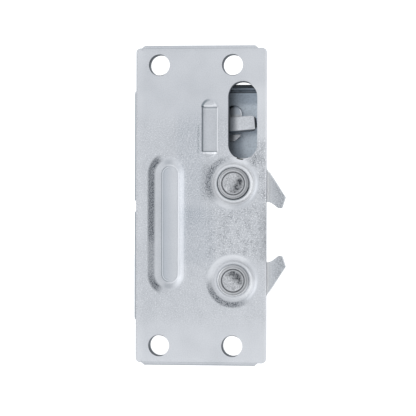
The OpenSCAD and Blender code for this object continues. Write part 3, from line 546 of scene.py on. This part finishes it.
def turned(profile, place, steps=96):
    """A profile of radii and depths in millimetres, turned about an axis along Y through place."""
    work = bmesh.new()
    points = [work.verts.new((place.x + r * MM, y * MM, place.z)) for r, y in profile]
    line = [work.edges.new(pair) for pair in zip(points, points[1:])]
    bmesh.ops.spin(work, geom=points + line, cent=(place.x, 0, place.z), axis=(0, 1, 0),
                   angle=math.tau, steps=steps, use_merge=True)
    bmesh.ops.remove_doubles(work, verts=work.verts, dist=0.001 * MM)
    bmesh.ops.recalc_face_normals(work, faces=work.faces)
    return work


def formed_head(name, pivot, patch_angle, rim_angle, rim_share):
    """Steel with a mottled middle and a dark patch at one side of it, painted shade in its rings, painted
    glints, and a rim with painted shade as far as rim_share goes and a painted highlight for the rest.
    """
    material = bpy.data.materials.new(name)
    shader = Shader(material)
    x, depth, z = shader.point()
    head = around_pivot(x, z, pivot)
    away = head.away
    speck = shader.noise(0.6, 3.0)
    scuffs = shader.noise(0.35, 2.0)
    blotch = shader.fade(shader.noise(1.9, 5.0, swirl=1.2), 0.38, 0.66)
    in_front = 1 - shader.fade(depth, HEAD_SEAT_Y, CASE_FLOOR_Y)
    on_face = (1 - shader.fade(away, RIVET_FACE_R - 0.4, RIVET_FACE_R)) * in_front
    patch = shader.fade(head.reach(patch_angle), -0.8, 2.0) * (1 - shader.fade(away, 3.0, 4.6) * 0.5)
    mottled = blotch * (0.14 + patch * 0.3) + patch * 0.46 + shader.fade(speck, 0.46, 0.64) * 0.22

    # Painted shade: the groove and ring lines, the flat ring darker at the right, the outer band and the
    # rim.
    groove = shader.band(away, RIVET_GROOVE_R - 0.2, RIVET_GROOVE_R + 0.05, 0.15) * 0.8
    ring = shader.band(away, RIVET_RING_R - 0.05, RIVET_RING_R + 0.1, 0.15) * 0.35
    flat_ring = shader.band(away, RIVET_GROOVE_R + 0.1, RIVET_HEAD_R - 0.5, 0.2)
    flat_ring = flat_ring * (0.08 + head.facing(-10, -0.2, 0.9) * 0.14)
    outer = shader.fade(away, RIVET_RING_R + 0.1, RIVET_HEAD_R - 0.4) * 0.3 * rim_share
    rim = shader.fade(away, RIVET_HEAD_R - 0.45, RIVET_HEAD_R - 0.22)
    rim = rim * (rim_share * 0.4 + head.facing(rim_angle, -0.3, 0.4) * rim_share * 0.6)
    rings = groove + ring + outer + rim + flat_ring
    dark = on_face * mottled + rings * in_front + shader.fade(speck, 0.5, 0.7) * 0.12

    # Painted highlights: a light rim where rim_share leaves it unshaded, away from rim_angle, and glint
    # flecks on the face.
    lit_rim = shader.band(away, RIVET_HEAD_R - 0.45, RIVET_HEAD_R, 0.15)
    lit_rim = lit_rim * (1 - head.facing(rim_angle, -0.1, 0.7))
    glint_flecks = shader.fade(shader.noise(0.8, 4.0, swirl=1.5), 0.55, 0.66) * on_face * (1 - patch)
    light = lit_rim * (1 - rim_share) * 0.55 * in_front + glint_flecks * 0.45
    colour = shader.mix(shader.mix(HEAD_BRIGHT, HEAD_DARK, dark), PAINTED_HIGHLIGHT, light)
    shader.surface(colour, 0.3 + speck * 0.15, metallic=0.92, height=on_face * speck + scuffs * 0.25,
                   depth_mm=0.05)
    return material


def pivot_rivet(node, pivot, patch_angle, rim_angle, rim_share):
    """The rivet over its CAD size, with the forming tool's groove and ring in its head."""
    front, back = [corner.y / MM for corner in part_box(node)]
    head = [
        (0, front + 0.22), (RIVET_FACE_R, front + 0.12), (RIVET_FACE_R + 0.2, front + 0.4),
        (RIVET_GROOVE_R, front + 0.4), (RIVET_GROOVE_R + 0.15, front + 0.1), (RIVET_RING_R - 0.3, front),
        (RIVET_RING_R, front + 0.22), (RIVET_RING_R + 0.25, front + 0.12),
        (RIVET_HEAD_R - 0.35, front + 0.25), (RIVET_HEAD_R, front + 0.7), (RIVET_HEAD_R, HEAD_SEAT_Y),
    ]
    shaft = [(PIN_R, HEAD_SEAT_Y), (PIN_R, CASE_FLOOR_Y), (NECK_R, CASE_FLOOR_Y), (NECK_R, CASE_BACK_Y)]
    tail = [
        (TAIL_R, CASE_BACK_Y), (TAIL_R, back - 0.6), (TAIL_R - 0.6, back - 0.1), (NECK_R + 0.2, back),
        (NECK_R - 0.1, back - 0.25), (0, back - 0.3),
    ]
    work = turned(head + shaft + tail, pivot)
    round_corners(work, 0.1, least_angle=20)
    steel = formed_head(node + "_steel", pivot, patch_angle, rim_angle, rim_share)
    fitted(finished(work, node + "_finished", steel), node)


pivot_rivet("upper_pivot_rivet", UPPER_PIVOT, patch_angle=-25, rim_angle=-110, rim_share=1.0)
pivot_rivet("lower_pivot_rivet", LOWER_PIVOT, patch_angle=50, rim_angle=50, rim_share=0.12)

# Bushes: flanged sleeves moulded in natural nylon, pushed on the pins before the claws and the pawl.
# They are milky, slightly yellowed and faintly textured by the mould.
NYLON = (0.80, 0.78, 0.70)
NYLON_YELLOWED = (0.72, 0.69, 0.60)


def moulded(name, colour, shade, roughness):
    """Moulded plastic or rubber: a faint cloud in the colour and the fine texture of the mould."""
    material = bpy.data.materials.new(name)
    shader = Shader(material)
    cloud = shader.noise(5.0, 2.0)
    texture = shader.noise(0.3, 2.0)
    shader.surface(shader.mix(colour, shade, cloud), roughness + texture * 0.1, metallic=0.0, height=texture,
                   depth_mm=0.01, Specular_IOR_Level=0.45)
    return material


nylon = moulded("natural_nylon", NYLON, NYLON_YELLOWED, 0.38)
for bush in ("upper_claw_bush", "lower_claw_bush", "pawl_bush"):
    eased(bush, nylon, ease=0.12)

# Claws: two hooks fine-blanked from 5 mm steel, with gear teeth where they meet, so that they open together.
# They are tumbled before plating, which rounds their edges, and each has a peg on its back for the spring.
CLAW_BRIGHT = (0.60, 0.62, 0.65)
CLAW_DULL = (0.36, 0.375, 0.40)
HOOK_LIGHT = (0.95, 0.96, 0.97)
HOOK_DARK = (0.20, 0.215, 0.235)


def hook_layers(shader):
    """The hooks have a painted highlight where they leave the plate, and painted shade with grain that grows
    towards their tips.
    """
    x, _, _ = shader.point()
    past_plate = x - PLATE_HIGH.x
    grain = shader.fade(shader.noise(0.6, 2.0), 0.42, 0.6)
    leaving = shader.band(past_plate, -0.6, 0.2, 0.8) * 0.75 + shader.band(past_plate, -0.6, 0.8, 2) * 0.25
    # A painted highlight at the plate's edge, then grainy painted shade growing towards the tips.
    return [
        (leaving, HOOK_LIGHT),
        (shader.fade(past_plate, 0.3, 1.8) * grain * 0.16, HOOK_DARK),
        (shader.fade(past_plate, 0.8, 6.3) * (0.3 + grain * 0.4), HOOK_DARK),
    ]


claw_finish = plated("claw_steel", CLAW_BRIGHT, CLAW_DULL, 0.38, grain_mm=0.7, layers=hook_layers)
for claw in ("upper_claw", "lower_claw"):
    eased(claw, claw_finish, ease=0.28)

# Washers and spacers: bronze washers and turned steel sleeves behind the claws and the pawl.
# They set the distance from the claws to the case and are held by the rivets.
BRONZE = (0.66, 0.50, 0.28)
BRONZE_TARNISHED = (0.46, 0.33, 0.18)
TURNED_STEEL = (0.52, 0.54, 0.56)
TURNED_STEEL_DULL = (0.40, 0.42, 0.44)


def turned_metal(name, colour, shade):
    """Metal with the fine round marks of turning and a faint cloud of tarnish."""
    material = bpy.data.materials.new(name)
    shader = Shader(material)
    marks = shader.noise(0.5, 3.0, stretch=(0.15, 1, 0.15))
    cloud = shader.noise(3.0, 2.0)
    shader.surface(shader.mix(colour, shade, cloud), 0.34 + marks * 0.15, metallic=0.95, height=marks,
                   depth_mm=0.01)
    return material


eased("claw_washers", turned_metal("bronze", BRONZE, BRONZE_TARNISHED), ease=0.1)
spacer_steel = turned_metal("spacer_steel", TURNED_STEEL, TURNED_STEEL_DULL)
for spacer in ("pivot_spacers", "pawl_spacer"):
    eased(spacer, spacer_steel, ease=0.2)

# Pawl and its rivet: a fine-blanked steel arm whose nose holds the upper claw shut, on a rivet of its own.
# The lever behind it lifts the nose out of the claw's notch.
PAWL_BRIGHT = (0.50, 0.52, 0.55)
PAWL_DULL = (0.30, 0.32, 0.34)
pawl_finish = plated("pawl_steel", PAWL_BRIGHT, PAWL_DULL, 0.4, grain_mm=0.8)
eased("pawl", pawl_finish, ease=0.25)
eased("pawl_pivot_rivet", pawl_finish, ease=0.15)

# Release lever: a flat steel arm on the pawl's rivet, with a strip that steps forward to a tab in the slot.
# It is plated brighter than the plate, and its edges are well rounded for a finger or a rod.
PAWL_PIVOT = middle_of("pawl_pivot_rivet")
LEVER_TILT = 5
TAB_END = 37.2
TAB_FACE_LOW = -2.45
TAB_LOW = -3.4
LEVER_BRIGHT = (0.58, 0.595, 0.625)
LEVER_DULL = (0.40, 0.415, 0.44)
TAB_DARK = (0.022, 0.031, 0.042)


def tab_layers(shader):
    """Tab and arm have painted shade where they go behind the plate, and the arm a little all over; the tab
    also has fine grain and painted shade along its lower edge and at its end.
    """
    x, _, z = shader.point()
    lever = around_pivot(x, z, PAWL_PIVOT)
    along = lever.reach(LEVER_TILT)
    height = lever.reach(LEVER_TILT + 90)
    in_slot = x - (SLOT[0] - SLOT_R)
    grain = shader.fade(shader.noise(0.6, 3.0), 0.42, 0.62)
    on_tab = shader.fade(height, TAB_LOW - 0.1, TAB_LOW) * shader.fade(in_slot, -4.05, -2.05)
    on_arm = 1 - on_tab
    shaded_lower_edge = 1 - shader.fade(height, TAB_FACE_LOW - 0.2, TAB_FACE_LOW + 0.05)
    shaded_tab_end = shader.fade(along, TAB_END - 0.3, TAB_END - 0.05)
    # After the grain: painted shade behind the plate, along the tab's lower edge and at its end, and over
    # the arm.
    return [
        (on_tab * grain * 0.14, TAB_DARK),
        (on_tab * (1 - shader.fade(in_slot, 0.95, 4.55)) * 0.78, TAB_DARK),
        (on_tab * shaded_lower_edge * 0.9, TAB_DARK),
        (on_tab * shaded_tab_end * 0.95, TAB_DARK),
        (on_arm * (1 - shader.fade(in_slot, 0.15, 2.35)) * 0.75, TAB_DARK),
        (on_arm * 0.2, TAB_DARK),
    ]


lever_finish = plated("lever_steel", LEVER_BRIGHT, LEVER_DULL, 0.3, layers=tab_layers,
                      Specular_Tint=(0.05, 0.06, 0.07, 1))
eased("release_lever", lever_finish, ease=0.35)

# Springs: oiled steel wire wound two turns round each pivot. One leg rests on a post or on the case.
# The other rests on a peg of the moving piece, so that the spring twists when the piece turns:
# the turn nearest the case stays, and the one nearest the piece goes with it. Here it is built at rest and
# is not tied to the piece.
WIRE_STEEL = (0.20, 0.205, 0.22)
WIRE_WORN = (0.32, 0.33, 0.35)
WIRE_SIDES = 14
STEP_ANGLE = 7.5
TURNS = 2
RIGHTWARD = 270
FACE_GAP = 0.3


def spring_wire():
    """Dark oiled wire with faint marks of drawing."""
    material = bpy.data.materials.new("spring_wire")
    shader = Shader(material)
    marks = shader.noise(0.6, 3.0)
    shader.surface(shader.mix(WIRE_STEEL, WIRE_WORN, marks), 0.28 + marks * 0.2, metallic=0.95, height=marks,
                   depth_mm=0.01)
    return material


wire_finish = spring_wire()


def wound(node, pivot, wire_d, coil_r, pitch, start, end, leg_in, leg_out, flip=False):
    """A torsion spring: a ring of points is run along a leg, round the coil and along the other leg.

    The coil starts near the case at one angle and ends in front at the other, after all its turns.
    """
    work = bmesh.new()
    turn = end - start + 360 * TURNS
    steps = round(turn / STEP_ANGLE)
    begin, finish = math.radians(start), math.radians(start + turn)
    back_y = CASE_FLOOR_Y - FACE_GAP - wire_d / 2

    def heading(angle):
        """The way that the wire runs at an angle of the coil."""
        return Vector((-math.sin(angle), 0, math.cos(angle)))

    def carried(edges, offset):
        """Extrudes the ring of edges by the offset, and gives the new ring."""
        out = bmesh.ops.extrude_edge_only(work, edges=edges)["geom"]
        bmesh.ops.translate(work, verts=[g for g in out if isinstance(g, bmesh.types.BMVert)], vec=offset)
        return [g for g in out if isinstance(g, bmesh.types.BMEdge)]

    coil_start = Vector((math.cos(begin), 0, math.sin(begin))) * coil_r + Vector((0, back_y, 0))
    leg_tip = Matrix.Translation(coil_start - heading(begin) * leg_in)
    aim = heading(begin).to_track_quat("Z", "Y").to_matrix().to_4x4()
    bmesh.ops.create_circle(work, segments=WIRE_SIDES, radius=wire_d / 2, cap_ends=False,
                            matrix=leg_tip @ aim)
    ring = carried(list(work.edges), heading(begin) * leg_in)
    points = list(dict.fromkeys(vert for edge in ring for vert in edge.verts))
    coil = bmesh.ops.spin(work, geom=ring + points, cent=(0, 0, 0), axis=(0, -1, 0),
                          dvec=(0, -pitch * turn / 360 / steps, 0), angle=math.radians(turn), steps=steps)
    ring = [g for g in coil["geom_last"] if isinstance(g, bmesh.types.BMEdge)]
    carried(ring, heading(finish) * leg_out)
    bmesh.ops.holes_fill(work, edges=[edge for edge in work.edges if edge.is_boundary], sides=WIRE_SIDES)
    bmesh.ops.scale(work, verts=work.verts, vec=(MM, MM, -MM if flip else MM))
    bmesh.ops.translate(work, verts=work.verts, vec=(pivot.x, 0, pivot.z))
    bmesh.ops.recalc_face_normals(work, faces=work.faces)
    piece = finished(work, node + "_finished", wire_finish)
    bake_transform(piece)
    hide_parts(node)


CLAW_WIRE_D = 1.4
CLAW_COIL_R = 8.0
CLAW_COIL_PITCH = 1.95
CLAW_PEG_REACH = 12.2
POST_NECK_R = 2.2
UPPER_POST = (-1.3, 30.3)
LOWER_POST = (-1.3, 13.4)
leg_offset = CLAW_COIL_R - POST_NECK_R - CLAW_WIRE_D / 2 - FACE_GAP
for claw, pivot, post, flip in (("upper_claw", UPPER_PIVOT, UPPER_POST, False),
                                ("lower_claw", LOWER_PIVOT, LOWER_POST, True)):
    to_post = math.hypot(*post)
    start = math.degrees(math.atan2(post[1], post[0]) + math.acos(leg_offset / to_post))
    leg = math.sqrt(to_post ** 2 - leg_offset ** 2) + POST_NECK_R
    wound(claw + "_spring", pivot, CLAW_WIRE_D, CLAW_COIL_R, CLAW_COIL_PITCH,
          start, RIGHTWARD, leg, CLAW_PEG_REACH, flip)

LEVER_WIRE_D = 1.1
LEVER_COIL_R = 6.4
LEVER_COIL_PITCH = 1.6
LEVER_PEG_REACH = 13.1
LEVER_LEG_START = 300
start = math.radians(LEVER_LEG_START)
wall_x = CASE_LOW.x + CASE_T + FACE_GAP - PAWL_PIVOT.x / MM
leg = (LEVER_COIL_R * math.cos(start) - wall_x) / -math.sin(start) - LEVER_WIRE_D / 4
wound("lever_spring", PAWL_PIVOT, LEVER_WIRE_D, LEVER_COIL_R, LEVER_COIL_PITCH,
      LEVER_LEG_START, RIGHTWARD + LEVER_TILT, leg, LEVER_PEG_REACH)

# Spring posts: shouldered pins riveted into the case, with a domed head that shows through the plate's slot.
# Its head carries painted shade at the left, the top and the rim, painted light below, and a thin painted
# highlight ring at the right.
POST_HEAD_R = 3.6
POST_BRIGHT = (0.42, 0.46, 0.51)
POST_DULL = (0.25, 0.28, 0.32)


def post_layers(shader):
    """Painted on the upper post's head: shade at the left and above, light below, a thin highlight ring at
    the right and a dark shaded rim.
    """
    x, _, z = shader.point()
    post = around_pivot(x - UPPER_POST[0], z - UPPER_POST[1], UPPER_PIVOT)
    ring = shader.band(post.away, POST_HEAD_R - 0.65, POST_HEAD_R - 0.35, 0.15) * post.facing(10, 0, 0.6)
    rim = shader.fade(post.away, POST_HEAD_R - 0.3, POST_HEAD_R - 0.1)
    shaded_top = shader.fade(post.up, 0.3, 2.2)
    shaded_left = 1 - shader.fade(post.across, -1.4, 1.7)
    lit_foot = shader.fade(0 - post.up, -0.4, 1.4)
    # All of these layers are painted light and shade on the head.
    return [
        (shaded_top * 0.15, PAINTED_DEEP_SHADE),
        (lit_foot * 0.75, PAINTED_SHEEN),
        (shaded_left * 0.55, PAINTED_DEEP_SHADE),
        (ring * 0.8, PAINTED_SHEEN),
        (rim * 0.8, PAINTED_DEEP_SHADE),
    ]


post_finish = plated("post_steel", POST_BRIGHT, POST_DULL, 0.3, grain_mm=0.6, layers=post_layers)
eased("spring_posts", post_finish, ease=0.12)

# Case: a sheet of steel folded round the works on three sides and open where the claws come out.
# It is plated with zinc of a bluer, darker tone than the plate, and closed by the tails of the rivets.
CASE_WALL_Z = CASE_HIGH.z - CASE_T
CASE_BRIGHT = (0.40, 0.455, 0.52)
CASE_SHADE = (0.25, 0.285, 0.33)
CASE_GRIME_AND_PAINTED_SHADE = (0.012, 0.017, 0.022)
# The light case colour is painted light and also streaks of wear; the dark one is grime and also painted
# shade.
CASE_PAINTED_SHEEN_AND_WEAR = (0.62, 0.68, 0.74)
CASE_DULL = (0.26, 0.275, 0.29)


def case_layers(shader):
    """Inside: some grime, painted shade in the fold, the bend, the crease and at the left, and painted light
    on the back and the seam. The cut edge has painted shade, and the outside is dull with faint streaks.
    """
    x, depth, z = shader.point()
    high = shader.maths("ABSOLUTE", z)
    inside = 1 - shader.fade(depth, CASE_FLOOR_Y + 0.1, CASE_FLOOR_Y + 0.4)
    inside = inside * shader.fade(x, CASE_LOW.x + CASE_T - 0.2, CASE_LOW.x + CASE_T + 0.1)
    inside = inside * (1 - shader.fade(high, CASE_WALL_Z + 0.1, CASE_WALL_Z + 0.4))
    outside = 1 - inside
    cloudy = shader.fade(shader.noise(6.0, 4.0), 0.42, 0.6)
    streaks = shader.fade(shader.noise(1.2, 3.0, stretch=(1, 1, 0.08)), 0.45, 0.65)
    grime = shader.fade(shader.noise(0.7, 4.0), 0.46, 0.66)

    low_painted_sheen_zone = shader.band(x, 19.5, 27, 3) * shader.band(z, 20, 30, 2) * 1.2
    painted_sheen_zone = shader.band(x, 17, 26, 3) * shader.band(z, 38.8, 42.6, 2.5) * 1.35 + low_painted_sheen_zone
    shaded = (1 - shader.fade(x, 12, 16)) * shader.band(z, 18, 52, 2)
    corner = CASE_FLOOR_Y + CASE_WALL_Z
    fold = shader.fade(depth + high, corner - 0.71, corner - 0.67)
    at_floor = shader.fade(depth, CASE_FLOOR_Y - 0.5, CASE_FLOOR_Y - 0.2)
    seam = shader.band(high, CASE_WALL_Z - 1.9, CASE_WALL_Z - 1.6, 0.2)
    crease = shader.band(high, CASE_WALL_Z - 1.15, CASE_WALL_Z - 0.95, 0.22) * at_floor
    bend = shader.fade(high, CASE_WALL_Z - 1.1, CASE_WALL_Z - 0.8) * at_floor
    cut_edge = 1 - shader.fade(depth, CASE_LOW.y + 0.1, CASE_LOW.y + 0.3)
    cut_edge = cut_edge * shader.fade(high, CASE_WALL_Z - 2.1, CASE_WALL_Z - 1.1)
    # Painted light on the back and the seam; real grime; painted shade at the left, in the fold, the bend
    # and the crease, and on the cut edge. The outside's dull tone and streaks are its own.
    return [
        (inside * painted_sheen_zone * 0.55, CASE_PAINTED_SHEEN_AND_WEAR),
        (inside * seam * 0.2, CASE_PAINTED_SHEEN_AND_WEAR),
        (inside * grime * 0.14, CASE_GRIME_AND_PAINTED_SHADE),
        (inside * shaded * 0.48, CASE_GRIME_AND_PAINTED_SHADE),
        (inside * fold * 0.3, CASE_GRIME_AND_PAINTED_SHADE),
        (inside * bend * 0.35, CASE_GRIME_AND_PAINTED_SHADE),
        (inside * crease * 0.85, CASE_GRIME_AND_PAINTED_SHADE),
        (outside * (0.6 + cloudy * 0.14), CASE_DULL),
        (outside * streaks * 0.1, CASE_PAINTED_SHEEN_AND_WEAR),
        (cut_edge * 0.95, CASE_GRIME_AND_PAINTED_SHADE),
    ]


case_finish = plated("case_zinc", CASE_BRIGHT, CASE_SHADE, 0.36, grain_mm=1.0, layers=case_layers)
eased("back_housing", case_finish, ease=0.2)

# Bumper: a rubber block on a pin at the bottom of the case, where the lower claw stops when the jaw opens.
# It is moulded in black rubber with rounded edges.
RUBBER = (0.030, 0.030, 0.032)
RUBBER_DUSTY = (0.045, 0.045, 0.047)
eased("claw_bumper", moulded("black_rubber", RUBBER, RUBBER_DUSTY, 0.65), ease=0.5)
eased("bumper_rivet", spacer_steel, ease=0.15)

# Floor: a plain white sheet below the latch, lit so evenly that it has no shadow in front of the camera.
# The latch is held by its bolt holes, as in a door, and doesn't touch it. These sizes are in metres.
FLOOR_HALF = 6.0
FLOOR_Z = -0.15
PAPER = (0.90, 0.90, 0.90)
PAPER_WHITE = (0.93, 0.93, 0.93)
work = bmesh.new()
bmesh.ops.create_grid(work, x_segments=4, y_segments=4, size=FLOOR_HALF,
                      matrix=Matrix.Translation((0, 0, FLOOR_Z)))
white = bpy.data.materials.new("white_floor")
shader = Shader(white)
fibres = shader.noise(3.0, 2.0)
shader.surface(shader.mix(PAPER, PAPER_WHITE, fibres), 0.9, metallic=0.0, height=fibres, depth_mm=0.02,
               Emission_Color=(1, 1, 1, 1), Emission_Strength=0.1)
floor = finished(work, "floor", white)

# Room: white all round behind the latch, and in front a soft fall from bright left to grey right.
# That is what puts light on the slopes that face left and shade on the ones that face right.
BEHIND = 1.25
IN_FRONT = 1.04
world = bpy.data.worlds.new("white_room")
bpy.context.scene.world = world
bpy.context.scene.view_settings.view_transform = "Standard"
shader = Shader(world)
x, y, z = shader.axes("Generated")
in_front = 1 - shader.fade(y, -0.15, 0.25)
left_glow = 1 - shader.fade(x, -0.8, -0.2)
right_shade = shader.fade(x, 0.35, 0.85)
above = shader.fade(z, 0.3, 0.8)
front = IN_FRONT + left_glow * 0.15 - right_shade * 0.05 + above * 0.05
strength = BEHIND * (1 - in_front) + front * in_front
background = shader.node("Background", {}, {"Color": (0.97, 0.985, 1.0, 1), "Strength": strength})
shader.node("OutputWorld", {}, {"Surface": background})

# Lamps: a large soft lamp at the upper left and a weak one low at the right, placed in metres.
# They are far enough away that the light is even over the whole plate.
for name, place, width, watts in (("key_lamp", (-1.15, -0.85, 0.30), 0.9, 2.5),
                                  ("low_lamp", (0.35, -0.9, -0.7), 0.6, 0.8)):
    data = bpy.data.lights.new(name, "AREA")
    data.size = width
    data.energy = watts
    lamp = bpy.data.objects.new(name, data)
    lamp.location = place
    lamp.rotation_euler = (-Vector(place)).to_track_quat("-Z", "Y").to_euler()
    bpy.context.scene.collection.objects.link(lamp)

# Camera: a long lens almost a metre away, a little to the right of the plate and level with its middle.
# For a square image it shows a field 177.6 mm wide at the plate. Places are in metres here too.
EYE = Vector((0.121, -0.943, -0.0011))
AIM = Vector((0.0053, 0, -0.0011))
FIELD = 0.1776
ROLL = 0.15
SENSOR = 36
camera_data = bpy.data.cameras.new("camera")
camera_data.sensor_width = SENSOR
camera_data.lens = SENSOR * (AIM - EYE).length / FIELD
camera_data.clip_end = 20
camera = bpy.data.objects.new("camera", camera_data)
camera.location = EYE
turn = (AIM - EYE).to_track_quat("-Z", "Y") @ Quaternion((0, 0, 1), math.radians(ROLL))
camera.rotation_euler = turn.to_euler()
bpy.context.scene.collection.objects.link(camera)
bpy.context.scene.camera = camera
